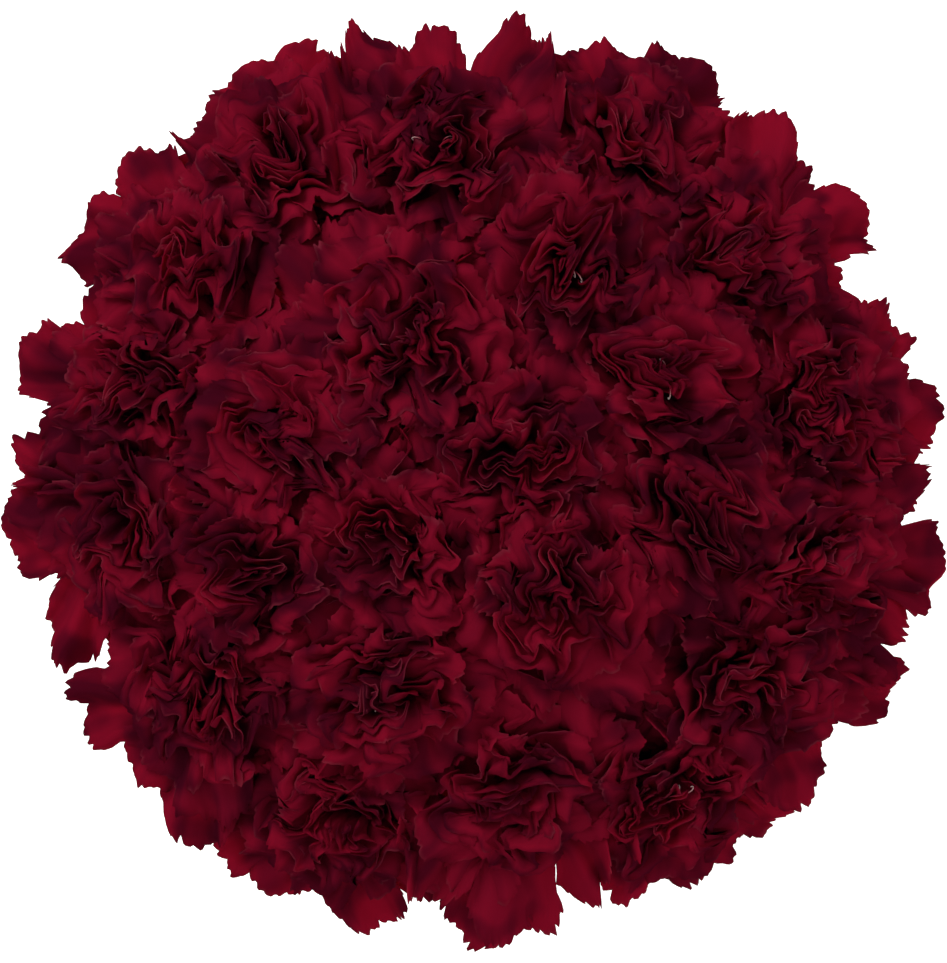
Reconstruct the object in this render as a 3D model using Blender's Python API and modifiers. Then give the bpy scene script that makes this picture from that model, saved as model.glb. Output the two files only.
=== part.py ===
"""Two dozen double carnations standing in a plain glass vase, modelled in metres with +Z up.

The origin is the centre of the vase's foot. Each flower is two objects: a stem that grew as one piece
with its calyx and leaves, and the bloom of petals that sits on the calyx. Run with
blender --background --python part.py, or from Blender's text editor.
"""

import math

import bmesh
import bpy
from mathutils import Matrix, Vector

# Vase: a plain tapered tumbler of clear glass.
VASE_HEIGHT = 0.200
VASE_FOOT_RADIUS = 0.047
VASE_MOUTH_RADIUS = 0.056
VASE_WALL = 0.0035
VASE_FLOOR = 0.012
VASE_FOOT_ROUND = 0.004
VASE_FOOT_STEPS = 3
VASE_RIM_STEPS = 6
VASE_SIDES = 40
# Where the vase's floor meets its wall the inside slopes instead of turning a sharp corner.
BOWL_SLOPE = 0.006
WATER_LEVEL = 0.128

# Dome: the hearts of the blooms lie on half an ellipsoid over the vase's mouth.
DOME_RADIUS = 0.166
DOME_RISE = 0.120
DOME_CENTRE_HEIGHT = 0.201
DOME_EDGE = 0.125
EDGE_TILT = math.radians(27)

# Where each bloom's heart stands: millimetres from the vase's axis, and degrees round it from +X.
INNER_PLACES = (
    (15, 20), (48, 120), (36, 220), (46, 304), (65, 170),
    (75, 352), (75, 67), (77, 246), (78, 204), (70, 28),
)
OUTER_PLACES = (
    (109, 97), (125, 121), (117, 143), (116, 166), (118, 189), (115, 219), (124, 248),
    (107, 277), (124, 301), (117, 324), (116, 346), (117, 10), (115, 39), (125, 66),
)

# Bloom: half outline, as distance from the bloom's axis and height above the calyx's mouth.
BLOOM_HEIGHT = 0.026
BLOOM_OUTLINE = (
    (0.0, 0.0310), (0.013, 0.0295), (0.025, 0.0240), (0.0360, 0.0165),
    (0.0465, 0.0105), (0.0445, 0.0075), (0.0280, 0.0035), (0.0080, 0.0003), (0.0, 0.0003),
)
BLOOM_SIDES = 16
BLOOM_MIDDLE = 0.012
BLOOM_GAP = 0.0004
BLOOM_RADIUS = max(radius for radius, height in BLOOM_OUTLINE)
# Blooms whose middles are closer than this many radii press on each other.
BLOOM_TOUCH = 2.2

# Stem and calyx.
STEM_RADIUS = 0.0023
STEM_SIDES_RESOLUTION = 1
STEM_STAND_HEIGHT = 0.0145
STEM_CURVE_STEPS = 6
CALYX_LENGTH = 0.026
CALYX_OUTLINE = ((0.0, 1.0), (0.12, 2.0), (0.35, 2.55), (0.75, 2.75), (1.0, 3.05))
FOOT_SPREAD = 0.290
MOUTH_SPREAD = 0.385
FOOT_TWIST = math.radians(-55)
MOUTH_TWIST = math.radians(-10)

# Leaves: narrow straps in opposite pairs, on every other outer stem.
LEAF_LENGTH = 0.066
LEAF_WIDTH = 0.0052
LEAF_THICKNESS = 0.0010
LEAF_STEPS = 5
LEAF_STEM_SHARE = 0.30
# A leaf starts this many stem radii from the stem's middle, and narrows there and towards its tip.
LEAF_START = 0.4
LEAF_ROOT_WIDTH = 0.4
LEAF_ROOT_WIDENING = 3.0
LEAF_TIP_NARROWING = 0.85
# Each leaf of a pair: degrees it turns from straight out, and how it climbs and droops along its length.
LEAF_PAIR = ((-40, 0.42, 0.45), (38, 0.12, 0.42))

# Water: its clearance from the glass, and the holes round the stems, which run past both its faces.
WATER_GAP = 0.0003
STEM_HOLE_GAP = 0.0006
STEM_HOLE_SPAN = (-0.004, 0.68)
STEM_HOLE_SIDES = 8

# Points of a mesh closer than this are one point, and on a bloom's cut faces closer than the second.
WELD = 0.00001
CUT_WELD = 0.00005
UP = Vector((0, 0, 1))


def clear_scene():
    for obj in list(bpy.data.objects):
        bpy.data.objects.remove(obj)


def new_collection(name):
    collection = bpy.data.collections.new(name)
    bpy.context.scene.collection.children.link(collection)
    return collection


def material(name, colour, roughness, transmission=0.0):
    made = bpy.data.materials.new(name)
    made.use_nodes = True
    shader = made.node_tree.nodes["Principled BSDF"]
    shader.inputs["Base Color"].default_value = (*colour, 1.0)
    shader.inputs["Roughness"].default_value = roughness
    shader.inputs["Metallic"].default_value = 0.0
    shader.inputs["Transmission Weight"].default_value = transmission
    return made


def object_from_bmesh(bm, name, collection, surface=None):
    mesh = bpy.data.meshes.new(name)
    bm.to_mesh(mesh)
    bm.free()
    obj = bpy.data.objects.new(name, mesh)
    collection.objects.link(obj)
    if surface:
        mesh.materials.append(surface)
    return obj


def hide_helper(obj):
    obj.hide_render = True
    obj.display_type = "WIRE"


def turned(outline, name, collection, sides, surface=None):
    """A solid turned about Z from an outline that runs down its outer side."""
    mesh = bpy.data.meshes.new(name)
    points = [(radius, 0.0, height) for radius, height in outline]
    mesh.from_pydata(points, [(i, i + 1) for i in range(len(points) - 1)], [])
    obj = bpy.data.objects.new(name, mesh)
    collection.objects.link(obj)
    screw = obj.modifiers.new("Turn", "SCREW")
    screw.steps = screw.render_steps = sides
    screw.use_merge_vertices = True
    screw.merge_threshold = WELD
    if surface:
        mesh.materials.append(surface)
    return obj


def as_mesh(obj):
    """Replaces an object by a mesh of its evaluated shape, with its loose caps welded on."""
    graph = bpy.context.evaluated_depsgraph_get()
    mesh = bpy.data.meshes.new_from_object(obj.evaluated_get(graph))
    bm = bmesh.new()
    bm.from_mesh(mesh)
    bmesh.ops.remove_doubles(bm, verts=bm.verts, dist=WELD)
    bmesh.ops.recalc_face_normals(bm, faces=bm.faces)
    bm.to_mesh(mesh)
    bm.free()
    name, collection, matrix = obj.name, obj.users_collection[0], obj.matrix_world.copy()
    bpy.data.objects.remove(obj)
    made = bpy.data.objects.new(name, mesh)
    made.matrix_world = matrix
    collection.objects.link(made)
    return made


def inner_radius(height):
    """The vase's inner radius at a height above its foot."""
    share = height / VASE_HEIGHT
    return VASE_FOOT_RADIUS + (VASE_MOUTH_RADIUS - VASE_FOOT_RADIUS) * share - VASE_WALL


def make_vase(collection, surface):
    half = VASE_WALL / 2
    rim_centre = VASE_MOUTH_RADIUS - half
    outline = [(0.0, VASE_FLOOR), (inner_radius(VASE_FLOOR) - BOWL_SLOPE, VASE_FLOOR)]
    outline.append((inner_radius(VASE_FLOOR + BOWL_SLOPE), VASE_FLOOR + BOWL_SLOPE))
    for step in range(VASE_RIM_STEPS + 1):
        turn = math.pi - math.pi * step / VASE_RIM_STEPS
        outline.append((rim_centre + half * math.cos(turn), VASE_HEIGHT - half + half * math.sin(turn)))
    for step in range(VASE_FOOT_STEPS + 1):
        turn = -math.pi / 2 * step / VASE_FOOT_STEPS
        across = VASE_FOOT_RADIUS - VASE_FOOT_ROUND * (1 - math.cos(turn))
        outline.append((across, VASE_FOOT_ROUND * (1 + math.sin(turn))))
    outline.append((0.0, 0.0))
    return turned(outline, "vase", collection, VASE_SIDES, surface)


def bloom_place(place):
    """The heart of a bloom on the dome, and the way that bloom faces."""
    radius, turn = place[0] / 1000, math.radians(place[1])
    outward = Vector((math.cos(turn), math.sin(turn), 0))
    height = DOME_CENTRE_HEIGHT + DOME_RISE * math.sqrt(1 - (radius / DOME_RADIUS) ** 2)
    tilt = EDGE_TILT * radius / DOME_EDGE
    return outward * radius + UP * height, outward * math.sin(tilt) + UP * math.cos(tilt)


def cut_back(bm, point, normal):
    """Removes what lies beyond a plane, and closes the cut with one flat face."""
    everything = bm.verts[:] + bm.edges[:] + bm.faces[:]
    cut = bmesh.ops.bisect_plane(
        bm, geom=everything, plane_co=point, plane_no=normal, clear_outer=True, dist=WELD / 10
    )
    edges = [item for item in cut["geom_cut"] if isinstance(item, bmesh.types.BMEdge)]
    if edges:
        bmesh.ops.holes_fill(bm, edges=edges, sides=0)


def make_bloom(name, collection, surface, heart, axis, other_middles):
    """A cushion of petals, flattened where it presses on each neighbour."""
    base = heart - axis * BLOOM_HEIGHT
    middle = base + axis * BLOOM_MIDDLE
    bm = bmesh.new()
    verts = [bm.verts.new((radius, 0.0, height)) for radius, height in BLOOM_OUTLINE]
    edges = [bm.edges.new(pair) for pair in zip(verts, verts[1:])]
    bmesh.ops.spin(
        bm,
        geom=verts + edges,
        axis=UP,
        cent=(0, 0, 0),
        angle=2 * math.pi,
        steps=BLOOM_SIDES,
        use_merge=True,
    )
    bmesh.ops.remove_doubles(bm, verts=bm.verts, dist=WELD)
    place = Matrix.Translation(base) @ UP.rotation_difference(axis).to_matrix().to_4x4()
    bm.transform(place)
    for other in other_middles:
        away = other - middle
        if away.length < BLOOM_TOUCH * BLOOM_RADIUS:
            away.normalize()
            cut_back(bm, (middle + other) / 2 - away * BLOOM_GAP / 2, away)
    bmesh.ops.remove_doubles(bm, verts=bm.verts, dist=CUT_WELD)
    bmesh.ops.recalc_face_normals(bm, faces=bm.faces)
    return object_from_bmesh(bm, name, collection, surface)


def stem_line(heart, axis):
    """A stem's cut end, where it passes the vase's mouth, and the foot and mouth of its calyx."""
    flat = Vector((heart.x, heart.y, 0))
    foot = Matrix.Rotation(FOOT_TWIST, 3, "Z") @ flat * FOOT_SPREAD + UP * STEM_STAND_HEIGHT
    mouth = Matrix.Rotation(MOUTH_TWIST, 3, "Z") @ flat * MOUTH_SPREAD + UP * VASE_HEIGHT
    calyx_mouth = heart - axis * BLOOM_HEIGHT
    return foot, mouth, calyx_mouth - axis * CALYX_LENGTH, calyx_mouth


def stem_curve(foot, mouth, calyx_foot, axis):
    """A smooth bend from the vase's mouth to the calyx, leaving along the straight part."""
    span = (calyx_foot - mouth).length
    leave = (mouth - foot).normalized() * span
    arrive = axis * span

    def at(share):
        square, cube = share**2, share**3
        return (
            mouth * (2 * cube - 3 * square + 1)
            + leave * (cube - 2 * square + share)
            + calyx_foot * (3 * square - 2 * cube)
            + arrive * (cube - square)
        )

    return at


def make_leaf(collection, root, outward, turn, climb, droop):
    """One strap leaf, as an arching strip that leaves the stem sideways and bends down."""
    along = Matrix.Rotation(math.radians(turn), 3, "Z") @ outward
    across = along.cross(UP).normalized()
    bm = bmesh.new()
    bmesh.ops.create_grid(bm, x_segments=1, y_segments=LEAF_STEPS, size=0.5)
    for vert in bm.verts:
        share = vert.co.y + 0.5
        widening = LEAF_ROOT_WIDTH + LEAF_ROOT_WIDENING * share
        width = LEAF_WIDTH * min(widening, 1 - LEAF_TIP_NARROWING * share**2) * vert.co.x
        rise = LEAF_LENGTH * (climb * share - droop * share**2)
        reach = LEAF_LENGTH * share + STEM_RADIUS * LEAF_START
        vert.co = root + along * reach + across * width + UP * rise
    leaf = object_from_bmesh(bm, "leaf", collection)
    solidify = leaf.modifiers.new("Blade", "SOLIDIFY")
    solidify.thickness = LEAF_THICKNESS
    solidify.offset = 0
    hide_helper(leaf)
    return leaf


def make_stem(name, collection, helpers, surface, heart, axis, has_leaves):
    """A tapering tube that is the stem as far as the calyx's foot, and the calyx from there up."""
    foot, mouth, calyx_foot, calyx_mouth = stem_line(heart, axis)
    bend = stem_curve(foot, mouth, calyx_foot, axis)
    points = [(foot, 1.0), (foot.lerp(mouth, 0.5), 1.0)]
    points += [(bend(step / STEM_CURVE_STEPS), 1.0) for step in range(STEM_CURVE_STEPS)]
    points += [(calyx_foot.lerp(calyx_mouth, share), wide) for share, wide in CALYX_OUTLINE]
    curve = bpy.data.curves.new(name, "CURVE")
    curve.dimensions = "3D"
    curve.bevel_depth = STEM_RADIUS
    curve.bevel_resolution = STEM_SIDES_RESOLUTION
    curve.use_fill_caps = True
    spline = curve.splines.new("POLY")
    spline.points.add(len(points) - 1)
    for spot, (place, wide) in zip(spline.points, points):
        spot.co = (*place, 1.0)
        spot.radius = wide
    stem = bpy.data.objects.new(name, curve)
    collection.objects.link(stem)
    bpy.context.view_layer.update()
    stem = as_mesh(stem)
    stem.data.materials.clear()
    stem.data.materials.append(surface)
    if has_leaves:
        root = bend(LEAF_STEM_SHARE)
        outward = Vector((root.x, root.y, 0)).normalized()
        for leaf in LEAF_PAIR:
            join = stem.modifiers.new("Leaf", "BOOLEAN")
            join.operation = "UNION"
            join.object = make_leaf(helpers, root, outward, *leaf)
    return stem


def make_water(collection, helpers, surface, places):
    """The water in the vase, with a hole for each stem that stands in it."""
    bottom = VASE_FLOOR + WATER_GAP
    slope_top = VASE_FLOOR + BOWL_SLOPE
    outline = (
        (0.0, WATER_LEVEL),
        (inner_radius(WATER_LEVEL) - WATER_GAP, WATER_LEVEL),
        (inner_radius(slope_top) - WATER_GAP, slope_top + WATER_GAP),
        (inner_radius(VASE_FLOOR) - BOWL_SLOPE - WATER_GAP, bottom),
        (0.0, bottom),
    )
    water = turned(outline, "water", collection, VASE_SIDES, surface)
    holes = bpy.data.collections.new("stem holes")
    helpers.children.link(holes)
    for heart, axis in places:
        foot, mouth, _, _ = stem_line(heart, axis)
        line = mouth - foot
        low, high = (foot + line * share for share in STEM_HOLE_SPAN)
        bm = bmesh.new()
        wide, long = STEM_RADIUS + STEM_HOLE_GAP, (high - low).length
        bmesh.ops.create_cone(
            bm, cap_ends=True, segments=STEM_HOLE_SIDES, radius1=wide, radius2=wide, depth=long
        )
        turn = UP.rotation_difference(line.normalized()).to_matrix().to_4x4()
        bm.transform(Matrix.Translation((low + high) / 2) @ turn)
        hide_helper(object_from_bmesh(bm, "stem_hole", holes))
    cut = water.modifiers.new("Stems", "BOOLEAN")
    cut.operation = "DIFFERENCE"
    cut.operand_type = "COLLECTION"
    cut.collection = holes
    return water


def main():
    clear_scene()
    parts = new_collection("carnations_in_a_vase")
    helpers = new_collection("helpers")
    petal = material("petal", (0.130, 0.004, 0.014), 0.75)
    green = material("stem_green", (0.150, 0.230, 0.110), 0.60)
    glass = material("clear_glass", (0.950, 0.970, 0.960), 0.03, transmission=1.0)
    liquid = material("water", (0.900, 0.960, 0.950), 0.02, transmission=1.0)
    places = [bloom_place(place) for place in INNER_PLACES + OUTER_PLACES]
    middles = [heart + axis * (BLOOM_MIDDLE - BLOOM_HEIGHT) for heart, axis in places]
    make_vase(parts, glass)
    make_water(parts, helpers, liquid, places)
    for number, (heart, axis) in enumerate(places, 1):
        others = [middle for middle in middles if middle is not middles[number - 1]]
        label = f"carnation_{number:02d}"
        make_bloom(f"{label}_petals", parts, petal, heart, axis, others)
        leafy = number > len(INNER_PLACES) and number % 2 == 0
        make_stem(f"{label}_stem", parts, helpers, green, heart, axis, leafy)


main()
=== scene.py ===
import math

import bpy
import numpy as np
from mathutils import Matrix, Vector


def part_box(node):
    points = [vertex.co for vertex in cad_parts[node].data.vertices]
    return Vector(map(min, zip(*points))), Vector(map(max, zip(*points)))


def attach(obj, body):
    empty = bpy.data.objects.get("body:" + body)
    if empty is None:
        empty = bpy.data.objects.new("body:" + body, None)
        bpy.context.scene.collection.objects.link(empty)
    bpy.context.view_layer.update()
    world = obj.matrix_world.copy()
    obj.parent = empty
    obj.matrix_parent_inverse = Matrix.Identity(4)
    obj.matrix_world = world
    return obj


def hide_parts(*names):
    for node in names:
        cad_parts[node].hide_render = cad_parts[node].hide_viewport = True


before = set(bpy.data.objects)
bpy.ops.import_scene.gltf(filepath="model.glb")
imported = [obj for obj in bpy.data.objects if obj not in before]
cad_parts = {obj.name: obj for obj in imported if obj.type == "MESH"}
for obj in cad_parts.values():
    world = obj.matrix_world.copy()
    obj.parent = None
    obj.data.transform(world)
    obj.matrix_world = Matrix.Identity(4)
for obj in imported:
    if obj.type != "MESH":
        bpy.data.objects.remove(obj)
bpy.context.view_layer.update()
mm = 0.001  # shapes are worked out in millimetres, and meshes hold metres
fullTurn = 2 * math.pi
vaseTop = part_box("vase")[1][2] / mm


def smooth(share):
    # 3 s^2 - 2 s^3: from 0 to 1 without a corner at either end
    share = np.clip(share, 0, 1)
    return share * share * (3 - 2 * share)


def between(pair, share):
    return pair[0] + (pair[1] - pair[0]) * share


def softPast(distance, softness):
    # softness * log(1 + e^(distance / softness)): nearly 0 short of a limit and nearly the distance past it
    return softness * np.log1p(np.exp(np.clip(distance / softness, -30, 30)))


def gridFaces(across, along):
    # quads of an open grid whose point (i, j) has number i * along + j
    corner = np.arange(across - 1)[:, None] * along + np.arange(along - 1)
    return np.stack([corner, corner + along, corner + along + 1, corner + 1], -1).reshape(-1, 4)


def ringFaces(rings, sides):
    # quads between neighbouring closed rings, point j of ring i having number i * sides + j
    i = np.arange(rings - 1)[:, None] * sides
    j = np.arange(sides)
    k = (j + 1) % sides
    return np.stack([i + j, i + k, i + sides + k, i + sides + j], -1).reshape(-1, 4)


def sweep(path, side, halfWidth, halfHeight, sides, channel=0.0):
    # A closed tube along a path: centre + side * w cos a + normal * (h sin a + channel |w cos a|).
    along = np.gradient(path, axis=0)
    along /= np.linalg.norm(along, axis=1)[:, None]
    side = np.cross(along, side)
    side /= np.linalg.norm(side, axis=1)[:, None]
    normal = np.cross(side, along)
    angle = np.linspace(0, fullTurn, sides + 1)[:-1]
    across = halfWidth[:, None] * np.cos(angle)
    lift = halfHeight[:, None] * np.sin(angle) + channel * np.abs(across)
    points = path[:, None] + across[..., None] * side[:, None] + lift[..., None] * normal[:, None]
    ends = np.stack([np.arange(sides)[::-1], np.arange(sides) + (len(path) - 1) * sides])
    share = np.linspace(0, 1, len(path))[:, None] + 0 * angle
    pairs = np.stack([angle / fullTurn + 0 * share, share], -1)
    return points.reshape(-1, 3), [ringFaces(len(path), sides), ends], pairs.reshape(-1, 2)


def turnedBody(radius, height, sides):
    # An outline turned about Z, (r cos a, r sin a, z), closed on the axis at its first and last point.
    # Radius and height hold one number for each ring, or one for each side of each ring.
    angle = np.linspace(0, fullTurn, sides + 1)[:-1]

    def perSide(values):
        inner = np.asarray(values, float).reshape(len(values), -1)[1:-1]
        return np.broadcast_to(inner, (len(inner), sides))

    r = perSide(radius)
    rings = np.stack([r * np.cos(angle), r * np.sin(angle), perSide(height)], -1).reshape(-1, 3)
    poles = [[0, 0, np.mean(height[0])], [0, 0, np.mean(height[-1])]]
    count = len(rings)
    j = np.arange(sides)
    k = (j + 1) % sides
    bottom = np.stack([k, j, np.full(sides, count)], -1)
    top = np.stack([j + count - sides, k + count - sides, np.full(sides, count + 1)], -1)
    return np.concatenate([rings, poles]), [ringFaces(len(r), sides), bottom, top]


def joined(pieces):
    # several (points, face groups, map) as one
    start, points, faces, pairs = 0, [], [], []
    for piecePoints, pieceFaces, piecePairs in pieces:
        points.append(piecePoints)
        faces += [group + start for group in pieceFaces]
        pairs.append(piecePairs)
        start += len(piecePoints)
    return np.concatenate(points), faces, np.concatenate(pairs)


def makeMesh(name, points, faces, maps, material):
    # each array in faces holds polygons with one number of corners, and maps are pairs for each point
    mesh = bpy.data.meshes.new(name)
    mesh.vertices.add(len(points))
    mesh.vertices.foreach_set("co", np.ascontiguousarray(points, np.float32).ravel())
    corners = np.concatenate([group.ravel() for group in faces]).astype(np.int32)
    sizes = np.concatenate([np.full(len(group), group.shape[1]) for group in faces])
    starts = np.concatenate([[0], np.cumsum(sizes)[:-1]]).astype(np.int32)
    mesh.loops.add(len(corners))
    mesh.loops.foreach_set("vertex_index", corners)
    mesh.polygons.add(len(sizes))
    mesh.polygons.foreach_set("loop_start", starts)
    mesh.polygons.foreach_set("use_smooth", np.ones(len(sizes), bool))
    for label, pairs in maps.items():
        layer = mesh.uv_layers.new(name=label)
        layer.data.foreach_set("uv", np.ascontiguousarray(pairs[corners], np.float32).ravel())
    mesh.update(calc_edges=True)
    mesh.validate()
    mesh.materials.append(material)
    made = bpy.data.objects.new(name, mesh)
    bpy.context.scene.collection.objects.link(made)
    return made


def place(made, node):
    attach(made, "root")
    if node:
        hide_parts(node)


class Signal:
    # a socket on which sums, differences, products and powers can be written

    def __init__(self, graph, socket):
        self.graph, self.socket = graph, socket

    def maths(self, operation, first, second=0.0, clamp=False):
        settings = {"operation": operation, "use_clamp": clamp}
        return self.graph.out(self.graph.node("ShaderNodeMath", settings, {0: first, 1: second}))

    def __add__(self, other):
        return self.maths("ADD", self, other)

    def __sub__(self, other):
        return self.maths("SUBTRACT", self, other)

    def __rsub__(self, other):
        return self.maths("SUBTRACT", other, self)

    def __mul__(self, other):
        return self.maths("MULTIPLY", self, other)

    def __pow__(self, other):
        return self.maths("POWER", self, other)

    def clamp(self):
        return self.maths("ADD", self, 0.0, True)

    __radd__ = __add__
    __rmul__ = __mul__


class Graph:
    # one material's nodes

    def __init__(self, name):
        self.material = bpy.data.materials.new(name)
        self.material.use_nodes = True
        self.tree = self.material.node_tree
        self.tree.nodes.clear()
        self.output = self.node("ShaderNodeOutputMaterial")

    def node(self, kind, settings=None, inputs=None):
        made = self.tree.nodes.new(kind)
        for key, value in (settings or {}).items():
            setattr(made, key, value)
        for key, value in (inputs or {}).items():
            if isinstance(value, Signal):
                self.tree.links.new(value.socket, made.inputs[key])
            else:
                made.inputs[key].default_value = value
        return made

    def out(self, made, key=0):
        return Signal(self, made.outputs[key])

    def pair(self, label):
        # the two numbers of a UV map
        uv = self.node("ShaderNodeUVMap", {"uv_map": label})
        split = self.node("ShaderNodeSeparateXYZ", None, {0: self.out(uv)})
        return self.out(split, 0), self.out(split, 1)

    def coordinates(self):
        return self.out(self.node("ShaderNodeTexCoord"), "Object")

    def noise(self, vector, scale, detail=2.0):
        inputs = {"Vector": vector, "Scale": scale, "Detail": detail, "Roughness": 0.5}
        return self.out(self.node("ShaderNodeTexNoise", None, inputs))

    def vector(self, x, y, z=0.0):
        return self.out(self.node("ShaderNodeCombineXYZ", None, {0: x, 1: y, 2: z}))

    def blend(self, share, first, second):
        # in a Mix node the colours are inputs 6 and 7, and their blend is output 2
        return self.out(self.node("ShaderNodeMix", {"data_type": "RGBA"}, {0: share, 6: first, 7: second}), 2)

    def step(self, value, low, high):
        # 0 below low, 1 above high, and a smooth rise between them
        inputs = {"Value": value, "From Min": low, "From Max": high}
        return self.out(self.node("ShaderNodeMapRange", {"interpolation_type": "SMOOTHSTEP"}, inputs))

    def bump(self, height, strength, distance):
        inputs = {"Height": height, "Strength": strength, "Distance": distance}
        return self.out(self.node("ShaderNodeBump", None, inputs))

    def shader(self, **inputs):
        settings = {key.replace("_", " "): value for key, value in inputs.items()}
        return self.out(self.node("ShaderNodeBsdfPrincipled", None, settings))

    def mixed(self, share, first, second):
        return self.out(self.node("ShaderNodeMixShader", None, {0: share, 1: first, 2: second}))

    def finish(self, surface):
        self.tree.links.new(surface.socket, self.output.inputs["Surface"])
        return self.material


bunch = {
    # the heart of each bloom: millimetres from the vase's axis, and degrees round it
    "inner": ((15, 20), (48, 120), (36, 220), (46, 304), (65, 170),
              (75, 352), (75, 67), (77, 246), (78, 204), (70, 28)),
    "outer": ((109, 97), (125, 121), (117, 143), (116, 166), (118, 189), (115, 219), (124, 248),
              (107, 277), (124, 301), (117, 324), (116, 346), (117, 10), (115, 39), (125, 66)),
    "domeRadius": 166, "domeRise": 120, "centreHeight": 201,
    "edge": 125, "edgeTilt": 27,            # a bloom this far out leans this many degrees
    "bloomHeight": 26,                      # from the calyx's mouth to the heart
    "seed": 16,
}


def arrangeBlooms():
    # Hearts lie on half an ellipsoid, z = centre + rise * sqrt(1 - (r / R)^2), and each bloom leans outward
    # in proportion to its distance from the vase's axis.
    spots = np.array(bunch["inner"] + bunch["outer"], float)
    radius, turn = spots[:, 0], np.radians(spots[:, 1])
    outward = np.stack([np.cos(turn), np.sin(turn), np.zeros_like(turn)], -1)
    height = bunch["centreHeight"] + bunch["domeRise"] * np.sqrt(1 - (radius / bunch["domeRadius"]) ** 2)
    tilt = np.radians(bunch["edgeTilt"]) * radius / bunch["edge"]
    up = np.array([0, 0, 1.0])
    hearts = outward * radius[:, None] + up * height[:, None]
    axes = outward * np.sin(tilt)[:, None] + up * np.cos(tilt)[:, None]
    return hearts, axes, hearts - axes * bunch["bloomHeight"]


hearts, axes, calyxMouths = arrangeBlooms()
bloomCount = len(hearts)
innerCount = len(bunch["inner"])


def bloomFrame(index, spin):
    # columns are the bloom's own X, Y and Z, Z being its axis
    axis = axes[index]
    side = np.cross(axis, [math.cos(spin), math.sin(spin), 0.1])
    side /= np.linalg.norm(side)
    return np.stack([side, np.cross(axis, side), axis], -1)


petal = {
    # Kinds from the heart outward. Pairs here run from the first petal of a kind to its last: the rim's radius
    # and height, and half the petal's width. Lean is in degrees, and jitter spreads the rim's radius.
    "kinds": (
        {"count": 20, "grid": (26, 9), "rim": (2.5, 21.0), "top": (29.5, 26.5), "half": (9.0, 14.5),
         "lean": 6, "jitter": (0.95, 1.04)},
        {"count": 14, "grid": (34, 10), "rim": (22.0, 35.0), "top": (26.0, 17.0), "half": (16.0, 20.5),
         "lean": 7, "jitter": (0.95, 1.04)},
        {"count": 14, "grid": (56, 12), "rim": (36.0, 52.0), "top": (15.0, 5.0), "half": (19.0, 23.0),
         "lean": 4, "jitter": (0.91, 1.07)},
    ),
    "thickness": 0.28,
    "nextTurn": 137.5, "turnSpread": 0.25,  # degrees from one petal to the next, and radians it may be off
    "rowCrowding": 0.85,                    # below 1, a petal's rows crowd towards its rim
    "widthSpread": (0.88, 1.12), "topSpread": 2.2, "openness": (0.75, 1.25), "size": (0.98, 1.05),
    # A petal whose rim has this radius has rank 1. Pairs below run from rank 0 to rank 1.
    "widest": 48.0,
    "startRadius": (0.8, 5.2), "startHeight": -2.0,
    "footHandle": (0.6, 8.0),               # out from the start, and height
    "rimHandleOut": (0.8, 0.6), "rimHandleUp": (0.69, 0.99), "guardLift": 7.0,
    "flare": (-0.1, 1.0), "flareIn": 0.34, "flareUp": 0.30,
    "rounding": (0.10, 0.18), "guardRounding": 0.09, "squareness": 2.8,
    "teeth": (
        {"every": 3.4, "spread": (0.85, 1.15), "height": (0.9, 1.9), "roundness": 0.7},
        {"every": 9.5, "height": (1.2, 1.7), "roundness": 0.6},
        {"every": 2.5, "height": (0.8, 0.8), "roundness": 1.0},
    ),
    "toothMiddle": (1.7, 2.5), "toothDepth": (0.6, 1.35), "toothRoot": 7,
    "ruffles": (
        {"every": (6.5, 11.5), "height": (1.1, 3.6), "growth": 2},
        {"every": (3.8, 5.8), "height": (0.45, 0.75), "growth": 1},
    ),
    "ruffleSpread": (0.8, 1.2), "cupping": (-3.5, 2.5), "twist": 0.15,
    "narrowFoot": 0.35, "widensOver": 0.6, "heartRoom": 3.0,
    # Guard petals of the outer blooms end on the dome's rim: they grow or shrink in full from
    # guardFrom + guardOver, and not at all below guardFrom.
    "domeEdge": 162.5, "guardShare": 0.9, "guardExtra": 3.5, "guardFrom": 28, "guardOver": 12,
    "bloomToneShare": 0.62,                 # how much of a petal's tone its whole bloom shares
}


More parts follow.
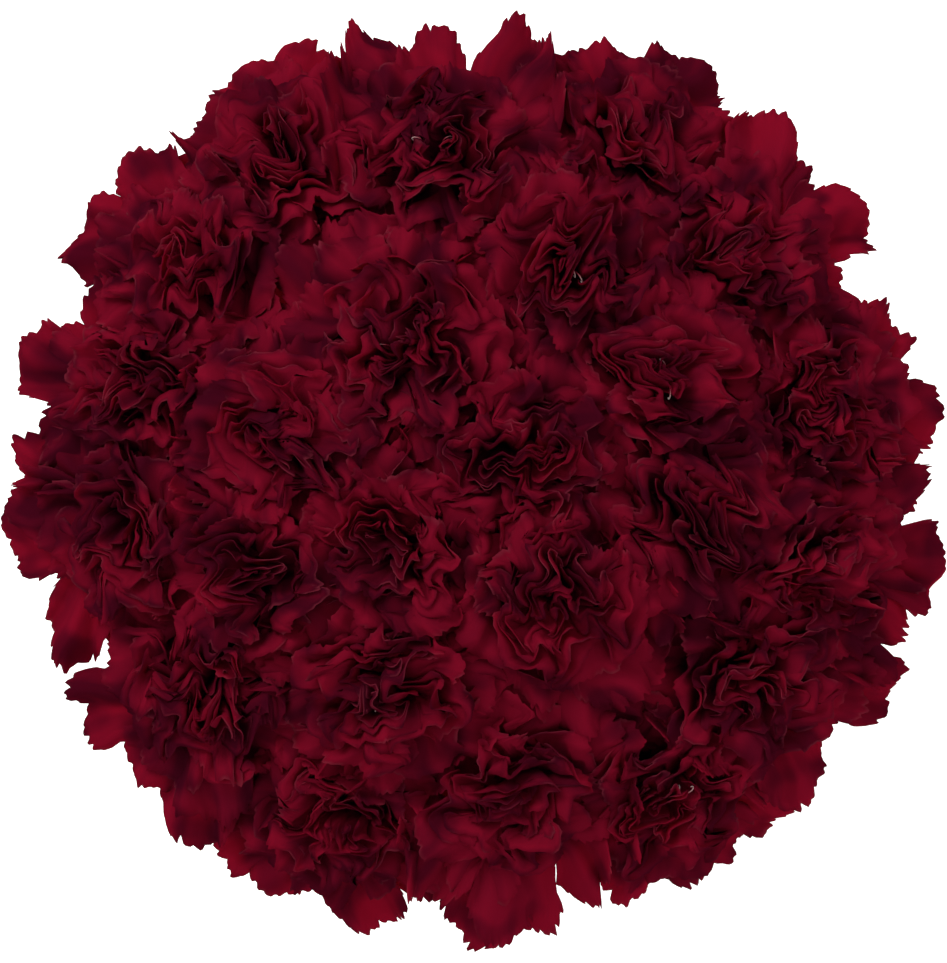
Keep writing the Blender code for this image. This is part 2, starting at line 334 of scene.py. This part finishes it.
def petalCups(kind, first, draw, openness, reach, bloomTone):
    # Each petal lies on a cup of its own, a cubic curve from calyx to rim turned about the bloom's axis:
    # r and z run from (startRadius, startHeight) through two handles to (rim, top).
    count = kind["count"]
    order = (np.arange(count) / (count - 1))[:, None, None]
    turn = ((np.arange(count) + first) * math.radians(petal["nextTurn"]))[:, None, None]
    u = np.linspace(-1, 1, kind["grid"][0])[None, :, None]
    along = np.linspace(0, 1, kind["grid"][1])[None, None, :] ** petal["rowCrowding"]

    def chance(low, high):
        return draw.uniform(low, high, (count, 1, 1))

    turn = turn + chance(-petal["turnSpread"], petal["turnSpread"])
    width = between(kind["half"], order) * chance(*petal["widthSpread"])
    rim = between(kind["rim"], order ** openness) * chance(*kind["jitter"])
    rim = rim * (1 + (reach - 1) * smooth((rim - petal["guardFrom"]) / petal["guardOver"]))
    top = between(kind["top"], order) + chance(-petal["topSpread"], petal["topSpread"])
    rank = rim / petal["widest"]

    # teeth: |sin|^roundness, rounded and with sharp notches, small ones on large ones
    margin = 0
    for teeth in petal["teeth"]:
        pace = chance(*teeth["spread"]) if "spread" in teeth else 1
        wave = np.abs(np.sin(math.pi * u * width / teeth["every"] * pace + chance(0, 3)))
        margin = margin + between(teeth["height"], rank) * wave ** teeth["roundness"]
    # v runs from foot to rim: less far at the petal's sides, and back and forth with the teeth
    rounding = (chance(*petal["rounding"]) + petal["guardRounding"] * rank) * np.abs(u) ** petal["squareness"]
    toothed = (margin - between(petal["toothMiddle"], rank)) * between(petal["toothDepth"], rank)
    v = along * (1 - rounding) + toothed / (rim + top) * along ** petal["toothRoot"]

    # a flared petal turns outward near its margin, an upright one hardly does
    flare = chance(*petal["flare"]) * (1 - rank)
    r0, z0 = between(petal["startRadius"], rank), petal["startHeight"]
    r1, z1 = r0 + petal["footHandle"][0], petal["footHandle"][1]
    r2 = rim * (between(petal["rimHandleOut"], rank) - petal["flareIn"] * flare)
    z2 = top * (between(petal["rimHandleUp"], rank) + petal["flareUp"] * flare)
    z2 = z2 + petal["guardLift"] * rank ** 2
    b0, b1, b2, b3 = (1 - v) ** 3, 3 * v * (1 - v) ** 2, 3 * v ** 2 * (1 - v), v ** 3
    r = b0 * r0 + b1 * r1 + b2 * r2 + b3 * rim
    z = b0 * z0 + b1 * z1 + b2 * z2 + b3 * top

    # ruffles: sine waves across the petal, along its normal, growing towards the margin; then its sides
    # curl up or down
    slopeR, slopeZ = np.gradient(r, axis=2), np.gradient(z, axis=2)
    slope = np.sqrt(slopeR ** 2 + slopeZ ** 2) + 1e-9
    lift = 0
    for ruffle in petal["ruffles"]:
        phase = math.pi * u * width / between(ruffle["every"], rank) * chance(*petal["ruffleSpread"])
        height = between(ruffle["height"], rank ** ruffle["growth"])
        lift = lift + height * np.sin(phase + chance(0, 6.3))
    lift = lift * v ** 3 + chance(*petal["cupping"]) * rank * u ** 2 * v ** 2
    r = r - lift * slopeZ / slope
    z = z + lift * slopeR / slope

    # lean: the whole petal turns in its own upright plane, about its foot
    lean = np.radians(chance(-kind["lean"], kind["lean"]))
    r, z = r * np.cos(lean) + z * np.sin(lean), z * np.cos(lean) - r * np.sin(lean)
    widening = between((petal["narrowFoot"], 1), smooth(v / petal["widensOver"]))
    angle = turn + u * width / (rim + petal["heartRoom"]) * widening
    angle = angle + chance(-petal["twist"], petal["twist"]) * v
    points = np.stack([r * np.cos(angle), r * np.sin(angle), z], -1)

    spread = np.ones_like(points[..., 0])
    shape = np.stack([(u + 1) / 2 * spread, along * spread], -1)
    petalTone = petal["bloomToneShare"] * bloomTone + chance(0, 1 - petal["bloomToneShare"])
    tone = np.stack([rank * spread, petalTone * spread], -1)
    give = chance(*pressed["gives"]) * spread
    return points.reshape(-1, 3), shape.reshape(-1, 2), tone.reshape(-1, 2), give.ravel()


def outerReach(index):
    # how much the guard petals of an outer bloom grow or shrink for their tips to end on the dome's rim
    if index < innerCount:
        return 1.0
    foot = np.linalg.norm(calyxMouths[index, :2])
    guardRim = petal["kinds"][2]["rim"][1]
    return (petal["domeEdge"] - foot) / (guardRim * petal["guardShare"] + petal["guardExtra"])


crumpled = {
    # each a wavelength and how far it moves a petal
    "folds": ((26, 4.4), (18, 3.6)),        # across the bloom
    "crinkles": ((12.5, 2.6), (8.5, 1.3)),  # across it, in the heart alone
    "heaves": ((24, 2.2), (13, 1.2)),       # up and down
    "bends": ((24, 1.8), (14, 0.8)),        # sideways, changing with height
    "strength": (0.8, 1.2), "slant": 0.15,
    "stillFoot": (6, 14),                   # nothing moves nearer the foot than 6, all moves 14 further on
    # from this far off the axis, and over this much further, what share of the movement is lost
    "broad": (20, 15, 0.80), "heart": (17, 10, 0.85),
}


def crumple(points, draw, strength):
    # Shears, p + d sin(w . p + c) with d square to w. Each can be undone, so petals that were apart
    # stay apart.
    reach = np.linalg.norm(points, axis=-1)
    radius = np.linalg.norm(points[:, :2], axis=-1)
    rise = smooth((reach - crumpled["stillFoot"][0]) / crumpled["stillFoot"][1])
    up = np.array([0, 0, 1.0])

    def fading(start, over, lost):
        return (rise * (1 - lost * smooth((radius - start) / over)))[:, None]

    def shear(points, weight, length, size, waves, move):
        phase = points @ waves * fullTurn / length + draw.uniform(0, 6.3)
        return points + weight * strength * size * move * np.sin(phase)[:, None]

    broad, heart = fading(*crumpled["broad"]), fading(*crumpled["heart"])
    for weight, pairs in ((broad, crumpled["folds"]), (heart, crumpled["crinkles"])):
        for length, size in pairs:
            a = draw.uniform(0, fullTurn)
            waves = np.array([math.cos(a), math.sin(a), crumpled["slant"]])
            move = np.array([-math.sin(a), math.cos(a), 0])
            points = shear(points, weight, length, size, waves, move)
    for length, size in crumpled["heaves"]:
        a = draw.uniform(0, fullTurn)
        points = shear(points, broad, length, size, np.array([math.cos(a), math.sin(a), 0]), up)
    for length, size in crumpled["bends"]:
        a = draw.uniform(0, fullTurn)
        points = shear(points, broad, length, size, up, np.array([math.cos(a), math.sin(a), 0]))
    return points


pressed = {
    "gives": (4, 14),                       # how far a petal may stand past the plane midway to a neighbour
    "middleHeight": 12, "farthest": 90, "softness": 1.5, "back": 0.8, "up": 0.5,
}


def pressOnNeighbours(points, index, give):
    # What would cross the plane midway to a neighbour by more than it gives turns up along the bloom's axis.
    middles = hearts - axes * (bunch["bloomHeight"] - pressed["middleHeight"])
    for other in range(bloomCount):
        away = middles[other] - middles[index]
        distance = np.linalg.norm(away)
        if other == index or distance > pressed["farthest"]:
            continue
        away /= distance
        past = softPast((points - middles[index]) @ away - distance / 2 - give, pressed["softness"])
        past = past[:, None]
        points = points - away * pressed["back"] * past + axes[index] * pressed["up"] * past
    return points


roundRim = {"farthest": 158.5, "softness": 2.5, "squeeze": 0.68, "drop": 0.15}


def keepRound(points):
    # past the bouquet's rim a petal is squeezed towards it, and hangs a little
    radius = np.linalg.norm(points[:, :2], axis=1)
    past = softPast(radius - roundRim["farthest"], roundRim["softness"])
    shrink = 1 - roundRim["squeeze"] * past / radius
    points = points * np.stack([shrink, shrink, np.ones_like(past)], -1)
    return points - np.array([0, 0, roundRim["drop"]]) * past[:, None]


def makePetals(index, material):
    draw = np.random.default_rng(bunch["seed"] * 100 + index)
    turned = bloomFrame(index, draw.uniform(0, fullTurn))
    openness, bloomTone = draw.uniform(*petal["openness"]), draw.uniform(0, 1)
    parts, faces, start, first = [], [], 0, 0
    for kind in petal["kinds"]:
        parts.append(petalCups(kind, first, draw, openness, outerReach(index), bloomTone))
        each, count = kind["grid"][0] * kind["grid"][1], kind["count"]
        quads = gridFaces(*kind["grid"])[None] + start + each * np.arange(count)[:, None, None]
        faces.append(quads.reshape(-1, 4))
        start += each * count
        first += count
    points, shapes, tones, give = (np.concatenate(part) for part in zip(*parts))
    points = crumple(points, draw, draw.uniform(*crumpled["strength"])) * draw.uniform(*petal["size"])
    points = calyxMouths[index] + points @ turned.T
    points = keepRound(pressOnNeighbours(points, index, give))
    maps = {"shape": shapes, "tone": tones}
    made = makeMesh(f"carnation_{index + 1:02d}_petals_look", points * mm, faces, maps, material)
    solid = made.modifiers.new("Thickness", "SOLIDIFY")
    solid.thickness = petal["thickness"] * mm
    solid.offset = 0
    place(made, f"carnation_{index + 1:02d}_petals")


petalLook = {
    # the rim colour is the margin's paler pink: partly the petal's own edge colour, partly a painted highlight
    # where the edge catches the light
    "dark": (0.052, 0.0022, 0.0098, 1), "bright": (0.186, 0.0041, 0.0182, 1), "rim": (0.20, 0.022, 0.040, 1),
    "paleRimAndHighlightShare": 0.62, "roughness": 0.62, "bump": 0.16,
    # the light that comes through a petal
    "throughDark": (0.30, 0.0080, 0.034, 1), "throughBright": (0.46, 0.0110, 0.045, 1), "throughShare": 0.42,
}


def petalMaterial():
    g = Graph("petal_look")
    across, along = g.pair("shape")
    rank, chance = g.pair("tone")
    coords = g.coordinates()
    veins = g.noise(g.vector(across * 22.0, along * 1.3, chance * 40.0), 1.0)
    streaks = g.noise(g.vector(across * 5.0, along * 1.2, chance * 31.0), 1.0, 1.0)
    clouds = g.noise(coords, 48.0, 1.0)
    paleRimAndHighlightPatches = g.noise(coords, 90.0)
    mottle = g.noise(coords, 160.0, 3.0)
    # how bright a spot is: a painted shade that darkens each petal's throat and lifts towards the margin, then
    # petal by petal, in soft clouds, in streaks along the petal and in fine veins
    tone = g.step(along, 0.25, 0.92) * 0.26 + chance * 0.50 + g.step(clouds, 0.38, 0.60) * 0.80
    tone = tone + g.step(streaks, 0.32, 0.68) * 0.42 + (veins - 0.5) * 0.18 + (mottle - 0.5) * 0.12 - 0.52
    # the upright edges in the heart are a shade darker than their faces
    heartEdge = g.step(along, 0.92, 1.0) * (1 - g.step(rank, 0.40, 0.80))
    tone = (tone - heartEdge * 0.45).clamp()
    body = g.blend(tone, petalLook["dark"], petalLook["bright"])
    # a paler pink margin in patches: partly the petal's own paler edge, partly a painted highlight where the
    # edge catches the light
    rim = g.step(along, 0.965, 1.0) * g.step(paleRimAndHighlightPatches, 0.46, 0.70)
    body = g.blend(rim * petalLook["paleRimAndHighlightShare"], body, petalLook["rim"])
    normal = g.bump(veins * 0.7 + g.noise(coords, 900.0) * 0.3, petalLook["bump"], 0.0006)
    skin = g.shader(Base_Color=body, Roughness=petalLook["roughness"], Normal=normal, Specular_IOR_Level=0.0)
    # the light through a petal follows the same tone, the painted shade in the throat included
    through = g.blend(tone, petalLook["throughDark"], petalLook["throughBright"])
    glow = g.out(g.node("ShaderNodeBsdfTranslucent", None, {"Color": through, "Normal": normal}))
    return g.finish(g.mixed(petalLook["throughShare"], skin, glow))


curls = {
    # blooms that show their two styles, and how far out each style's tip stands in its bloom
    "blooms": (1, 6, 7, 9, 10, 18), "tips": (4.0, 7.0),
    "height": 26.5, "radius": 0.32, "thinsBy": 0.5, "hook": 1.2, "hookFrom": 0.72, "hookTurn": 1.6 * math.pi,
    "steps": 40, "sides": 8, "spin": 0.7,
    "red": (0.16, 0.006, 0.018, 1), "pale": (0.48, 0.40, 0.38, 1),
}


def styleMaterial():
    # red like the petals, and pale from the hook on
    g = Graph("style_look")
    along = g.pair("shape")[1]
    body = g.blend(g.step(along, 0.78, 0.96), curls["red"], curls["pale"])
    return g.finish(g.shader(Base_Color=body, Roughness=0.6, Specular_IOR_Level=0.2))


def makeStyles(index, material):
    # A thread up the bloom's axis that leans outward, tip * t^1.5, then turns over in a small round hook.
    draw = np.random.default_rng(bunch["seed"] * 300 + index)
    t = np.linspace(0, 1, curls["steps"])
    pieces = []
    for tip in curls["tips"]:
        a = draw.uniform(0, fullTurn)
        bend = curls["hookTurn"] * smooth((t - curls["hookFrom"]) / (1 - curls["hookFrom"]))
        out = tip * t ** 1.5 + curls["hook"] * (1 - np.cos(bend))
        rise = curls["height"] * np.minimum(t / curls["hookFrom"], 1) + curls["hook"] * np.sin(bend)
        path = np.stack([out * math.cos(a), out * math.sin(a), rise], -1)
        path = calyxMouths[index] + path @ bloomFrame(index, curls["spin"]).T
        radius = curls["radius"] * (1 - curls["thinsBy"] * t)
        pieces.append(sweep(path, np.array([0.3, 1.0, 0]), radius, radius, curls["sides"]))
    points, faces, pairs = joined(pieces)
    made = makeMesh(f"carnation_{index + 1:02d}_styles", points * mm, faces, {"shape": pairs}, material)
    place(made, None)


stem = {
    "radius": 2.2, "standHeight": 14.5, "sides": 12, "straightSteps": 60, "bendSteps": 26,
    "jointEvery": 43.0, "jointSwell": 0.75, "jointLength": 2.2,
    "thinsBy": 0.25, "thinsFrom": 120, "thinsOver": 120,
    # the foot and the vase's mouth: share of the heart's distance from the axis, and degrees round it
    "footSpread": 0.290, "footTwist": -55, "mouthSpread": 0.385, "mouthTwist": -10,
}

calyx = {
    "length": 26.0, "sides": 45, "rings": 30, "spin": 0.7, "leastRadius": 0.4,
    "outline": ((0, 2.3), (0.10, 4.6), (0.3, 6.0), (0.7, 6.5), (1, 7.2)),   # share of the length, radius
    # over the mouth and down the inside: share of the length, and how far inside the outer wall
    "inside": ((1.0, 0.5), (0.97, 0.9), (0.75, 1.0), (0.6, 1.0), (0.6, 7.0)),
    "teeth": 5, "toothHeight": 3.6, "toothFrom": 0.6, "mouthDrop": 1.0,
    # four scales round the foot: least height, what their middles add, thickness and length of the edge
    "scaleHeight": 5.0, "scaleMiddle": 4.5, "scaleTurn": 0.4, "scaleThickness": 0.75, "scaleEdge": 0.9,
    "ribs": 15, "ribHeight": 0.10,
}

leaf = {
    # one pair: degrees from straight out, climb and droop
    "pair": ((-40, 0.42, 0.45), (38, 0.12, 0.42)),
    "at": 0.30,                             # share of the stem's bend below it
    "length": 66.0, "width": 5.2, "steps": 34, "sides": 14,
    "start": 0.4,                           # stem radii from the stem's middle
    "sway": 2.0, "swayTurn": 4.5, "thickness": 0.3, "channel": 0.35,
}


def aroundZ(degrees, vector):
    c, s = math.cos(math.radians(degrees)), math.sin(math.radians(degrees))
    return np.array([c * vector[0] - s * vector[1], s * vector[0] + c * vector[1], vector[2]])


def stemPath(index, bendSteps):
    # straight inside the vase, then a cubic bend that meets the calyx along the bloom's axis
    flat = hearts[index] * [1, 1, 0]
    foot = aroundZ(stem["footTwist"], flat) * stem["footSpread"] + [0, 0, stem["standHeight"]]
    mouth = aroundZ(stem["mouthTwist"], flat) * stem["mouthSpread"] + [0, 0, vaseTop]
    calyxFoot = calyxMouths[index] - axes[index] * calyx["length"]
    span = np.linalg.norm(calyxFoot - mouth)
    leave, arrive = (mouth - foot) / np.linalg.norm(mouth - foot) * span, axes[index] * span
    t = np.linspace(0, 1, bendSteps)[:, None]
    bend = mouth * (2 * t ** 3 - 3 * t ** 2 + 1) + leave * (t ** 3 - 2 * t ** 2 + t)
    bend = bend + calyxFoot * (3 * t ** 2 - 2 * t ** 3) + arrive * (t ** 3 - t ** 2)
    straight = foot + (mouth - foot) * np.linspace(0, 1, stem["straightSteps"] + 1)[:-1, None]
    return straight, bend


def stemTube(index, draw):
    # a tube that swells at its joints as e^-(d / length)^2, and thins towards the bloom
    path = np.concatenate(stemPath(index, stem["bendSteps"]))
    far = np.concatenate([[0], np.cumsum(np.linalg.norm(np.diff(path, axis=0), axis=1))])
    every = stem["jointEvery"]
    joint = (far - draw.uniform(0, every) + every / 2) % every - every / 2
    radius = stem["radius"] + stem["jointSwell"] * np.exp(-(joint / stem["jointLength"]) ** 2)
    radius = radius - stem["thinsBy"] * smooth((far - stem["thinsFrom"]) / stem["thinsOver"])
    return sweep(path, np.array([1.0, 0, 0]), radius, radius, stem["sides"])


def calyxCup(index):
    # A turned cup with an inner wall, five teeth at its mouth, 1 - |sin(5 a / 2)|, fine ribs down its side,
    # and four overlapping scales round its foot, |cos 2 a|^0.8.
    length = calyx["length"]
    insideRise, insideStep = np.array(calyx["inside"]).T
    angle = np.linspace(0, fullTurn, calyx["sides"] + 1)[:-1][None]
    rise = np.concatenate([[0, 0], np.linspace(0.01, 1, calyx["rings"]), insideRise])[:, None]
    inward = np.concatenate([np.zeros(calyx["rings"] + 2), insideStep])[:, None]
    outside = inward == 0
    width = np.interp(rise, *zip(*calyx["outline"]))
    humps = np.abs(np.cos(2 * angle + calyx["scaleTurn"])) ** 0.8
    scaleTop = calyx["scaleHeight"] + calyx["scaleMiddle"] * humps
    scales = calyx["scaleThickness"] * smooth((scaleTop - rise * length) / calyx["scaleEdge"])
    ribs = calyx["ribHeight"] * np.cos(calyx["ribs"] * angle) * smooth(rise * 4)
    radius = np.maximum(width - inward + (scales + ribs) * outside, calyx["leastRadius"])
    teeth = calyx["toothHeight"] * (1 - np.abs(np.sin(calyx["teeth"] / 2 * angle)))
    teeth = teeth * smooth((rise - calyx["toothFrom"]) / (1 - calyx["toothFrom"]))
    height = rise * length + teeth - calyx["mouthDrop"] * (rise == 1)
    radius[0], radius[-1], height[0] = 0, 0, 0
    points, faces = turnedBody(radius, height, calyx["sides"])
    share = np.clip(points[:, 2] / length, 0, 1)
    pairs = np.stack([np.arctan2(points[:, 1], points[:, 0]) / fullTurn + 0.5, share], -1)
    start = calyxMouths[index] - axes[index] * length
    return start + points @ bloomFrame(index, calyx["spin"]).T, faces, pairs


def leafBlades(index):
    # Two straps that leave one joint of the stem, each an arch: rise = length * (climb s - droop s^2), with a
    # last drop at the tip, a sideways sway and a channel down the middle.
    percent = 100
    root = stemPath(index, percent + 1)[1][int(leaf["at"] * percent)]
    outward = root * [1, 1, 0] / np.linalg.norm(root[:2])
    up = np.array([0, 0, 1.0])
    s = np.linspace(0, 1, leaf["steps"])
    half = leaf["width"] / 2 * np.minimum(0.55 + 3 * s, (1 - s ** 3) ** 0.8 + 0.02)
    blades = []
    for turn, climb, droop in leaf["pair"]:
        forward = aroundZ(turn, outward)
        ahead = leaf["length"] * (s - 0.05 * s ** 4) + leaf["start"] * stem["radius"]
        rise = leaf["length"] * (climb * s - droop * s ** 2 - 0.06 * s ** 6)
        sway = leaf["sway"] * np.sin(s * leaf["swayTurn"]) * s
        path = root + forward * ahead[:, None] + up * rise[:, None] + np.cross(forward, up) * sway[:, None]
        blades.append(sweep(path, up, half, leaf["thickness"] * half ** 0.5, leaf["sides"], leaf["channel"]))
    return blades


def greenMaterial():
    # two greens in soft patches, with fine pale lines along the stem like a waxy bloom
    g = Graph("green_look")
    across, along = g.pair("shape")
    coords = g.coordinates()
    patches = g.noise(coords, 60.0, 3.0)
    lines = g.noise(g.vector(across * 60.0, along * 3.0), 1.0)
    body = g.blend(patches, (0.048, 0.122, 0.034, 1), (0.095, 0.205, 0.066, 1))
    body = g.blend((lines * 0.6 - 0.1).clamp(), body, (0.150, 0.260, 0.130, 1))
    normal = g.bump(lines * 0.5 + g.noise(coords, 900.0) * 0.5, 0.2, 0.0005)
    rough = g.noise(coords, 120.0) * 0.25 + 0.38
    return g.finish(g.shader(Base_Color=body, Roughness=rough, Normal=normal, Specular_IOR_Level=0.4))


def makeStem(index, material):
    draw = np.random.default_rng(bunch["seed"] * 200 + index)
    pieces = [stemTube(index, draw), calyxCup(index)]
    if index >= innerCount and index % 2:  # every other outer stem keeps its leaves
        pieces += leafBlades(index)
    points, faces, pairs = joined(pieces)
    made = makeMesh(f"carnation_{index + 1:02d}_stem_look", points * mm, faces, {"shape": pairs}, material)
    place(made, f"carnation_{index + 1:02d}_stem")


vase = {
    "footRadius": 47.0, "mouthRadius": 56.0, "height": 200.0, "wall": 3.5, "floor": 12.0,
    "footRound": 4.0, "innerRound": 9.0,
    "sides": 160, "heelRings": 8, "wallRings": 14, "rimRings": 13, "roundRings": 10,
    "wallFrom": 8, "wallBelowRim": 4, "insideBelowRim": 6, "insideAboveRound": 1,
    "footFlat": 20, "floorFlat": 15,
    "colour": (0.86, 0.92, 0.895, 1), "edgeColour": (0.30, 0.40, 0.37, 1), "edgeShare": 0.9,
}
water = {
    "level": 128.0, "intoGlass": 0.08, "meniscus": 1.2, "meniscusWidth": 5, "surfaceFlat": 20,
    "wallRings": 10, "surfaceRings": 6, "colour": (0.93, 0.975, 0.955, 1),
}


def vaseWall(height):
    # outer radius at a height
    return vase["footRadius"] + (vase["mouthRadius"] - vase["footRadius"]) * height / vase["height"]


def bowlRound(grown):
    # the quarter round from the inside wall down to the floor; grown moves it out into the glass
    turn = np.linspace(0, math.pi / 2, vase["roundRings"])
    radius = vaseWall(vase["floor"]) - vase["wall"] + grown - vase["innerRound"] * (1 - np.cos(turn))
    return radius, vase["floor"] - grown + vase["innerRound"] * (1 - np.sin(turn))


def glassMaterial():
    g = Graph("glass_look")
    normal = g.bump(g.noise(g.coordinates(), 14.0, 1.0), 0.06, 0.004)
    glass = g.shader(Base_Color=vase["colour"], Roughness=0.0, IOR=1.47, Transmission_Weight=1.0,
                     Normal=normal)
    # seen edge on, the wall is long enough to show its own grey-green
    facing = g.out(g.node("ShaderNodeLayerWeight", None, {"Blend": 0.5}), "Facing")
    dark = g.out(g.node("ShaderNodeBsdfTransparent", None, {"Color": vase["edgeColour"]}))
    return g.finish(g.mixed(facing ** 3.0 * vase["edgeShare"], glass, dark))


def waterMaterial():
    g = Graph("water_look")
    normal = g.bump(g.noise(g.coordinates(), 30.0, 1.0), 0.03, 0.003)
    return g.finish(g.shader(Base_Color=water["colour"], Roughness=0.0, IOR=1.33, Transmission_Weight=1.0,
                             Normal=normal))


def makeVase():
    # turned: foot, a quarter round at the heel, the tapering wall, a half round at the rim, and down the
    # inside to the floor
    heel = np.linspace(0, math.pi / 2, vase["heelRings"])
    footX = vase["footRadius"] - vase["footRound"] * (1 - np.sin(heel))
    footZ = vase["footRound"] * (1 - np.cos(heel))
    wallZ = np.linspace(vase["wallFrom"], vase["height"] - vase["wallBelowRim"], vase["wallRings"])
    half, turn = vase["wall"] / 2, np.linspace(0, math.pi, vase["rimRings"])
    rimX = vase["mouthRadius"] - half + half * np.cos(turn)
    rimZ = vase["height"] - half + half * np.sin(turn)
    insideFoot = vase["floor"] + vase["innerRound"] + vase["insideAboveRound"]
    insideZ = np.linspace(vase["height"] - vase["insideBelowRim"], insideFoot, vase["wallRings"])
    insideX = vaseWall(insideZ) - vase["wall"]
    bowlX, bowlZ = bowlRound(0)
    radius = [[0, vase["footFlat"]], footX, vaseWall(wallZ), rimX, insideX, bowlX, [vase["floorFlat"], 0]]
    height = [[0, 0], footZ, wallZ, rimZ, insideZ, bowlZ, [vase["floor"]] * 2]
    points, faces = turnedBody(np.concatenate(radius), np.concatenate(height), vase["sides"])
    made = makeMesh("vase_look", points * mm, faces, {}, glassMaterial())
    place(made, "vase")


def makeWater():
    # Turned, with its side just inside the glass, so that no film of air shows between them. The surface
    # climbs the glass in a meniscus, level + height * (1 - e)^2.
    out, level = water["intoGlass"], water["level"]
    bowlX, bowlZ = (part[::-1] for part in bowlRound(out))
    wallFoot = vase["floor"] + vase["innerRound"] + vase["insideAboveRound"]
    wallZ = np.linspace(wallFoot, level, water["wallRings"])
    edge = np.linspace(0, 1, water["surfaceRings"] + 1)[1:]
    surfaceX = vaseWall(level) - vase["wall"] + out - water["meniscusWidth"] * edge
    surfaceZ = level + water["meniscus"] * (1 - edge) ** 2
    wallX = vaseWall(wallZ) - vase["wall"] + out
    radius = [[0, vase["floorFlat"]], bowlX, wallX, surfaceX, [water["surfaceFlat"], 0]]
    wallZ[-1] = level + water["meniscus"]  # the side's last ring is the top of the meniscus
    height = [[vase["floor"] - out] * 2, bowlZ, wallZ, surfaceZ, [level] * 2]
    points, faces = turnedBody(np.concatenate(radius), np.concatenate(height), vase["sides"])
    made = makeMesh("water_look", points * mm, faces, {}, waterMaterial())
    place(made, "water")


studio = {
    # metres and watts; the lamps point at a spot on the vase's axis
    "floorRadius": 8, "floorHeight": -0.0002, "floorSides": 96, "floorColour": (0.86, 0.86, 0.86, 1),
    "floorGlow": 0.55, "worldStrength": 1.0, "aim": (0, 0, 0.25),
    "key": {"size": 0.8, "energy": 26, "location": (-0.9, 1.0, 1.7)},
    "fill": {"size": 1.6, "energy": 6, "location": (1.2, -0.8, 1.6)},
    # the camera looks straight down, its view's long side this wide at the level of the outer petals
    "cameraPlace": (-0.0012, -0.0017, 1.6), "viewWidth": 0.3175, "viewLevel": 0.275, "sensor": 36,
}


def makeFloor():
    g = Graph("floor_white")
    skin = g.shader(Base_Color=studio["floorColour"], Roughness=0.8, Emission_Color=(1, 1, 1, 1),
                    Emission_Strength=studio["floorGlow"])
    material = g.finish(skin)
    ring = np.linspace(0, fullTurn, studio["floorSides"] + 1)[:-1]
    r, z = studio["floorRadius"], studio["floorHeight"]
    points = np.stack([r * np.cos(ring), r * np.sin(ring), z + 0 * ring], -1)
    floor = makeMesh("floor", points, [np.arange(studio["floorSides"])[None]], {}, material)


def makeLight(name):
    # a round soft lamp
    lamp = studio[name]
    data = bpy.data.lights.new(name, "AREA")
    data.shape, data.size, data.energy = "DISK", lamp["size"], lamp["energy"]
    made = bpy.data.objects.new(name, data)
    bpy.context.scene.collection.objects.link(made)
    made.location = lamp["location"]
    made.rotation_mode = "QUATERNION"
    made.rotation_quaternion = (Vector(lamp["location"]) - Vector(studio["aim"])).to_track_quat("Z", "Y")


def makeWorld():
    world = bpy.data.worlds.new("studio")
    bpy.context.scene.world = world
    world.use_nodes = True
    background = world.node_tree.nodes["Background"]
    background.inputs["Color"].default_value = (1, 1, 1, 1)
    background.inputs["Strength"].default_value = studio["worldStrength"]


def makeCamera():
    data = bpy.data.cameras.new("camera")
    made = bpy.data.objects.new("camera", data)
    bpy.context.scene.collection.objects.link(made)
    distance = studio["cameraPlace"][2] - studio["viewLevel"]
    data.sensor_width, data.lens = studio["sensor"], studio["sensor"] * distance / studio["viewWidth"]
    data.clip_start, data.clip_end = 0.05, 50
    made.location = studio["cameraPlace"]
    bpy.context.scene.camera = made


petalSkin = petalMaterial()
for index in range(bloomCount):
    makePetals(index, petalSkin)
print("petals made")
styleSkin = styleMaterial()
for index in curls["blooms"]:
    makeStyles(index, styleSkin)
print("styles made")
green = greenMaterial()
for index in range(bloomCount):
    makeStem(index, green)
print("stems made")
makeVase()
makeWater()
print("vase and water made")
makeFloor()
makeWorld()
makeLight("key")
makeLight("fill")
bpy.context.scene.view_settings.view_transform = "Standard"
makeCamera()
print("floor, lights and camera made")
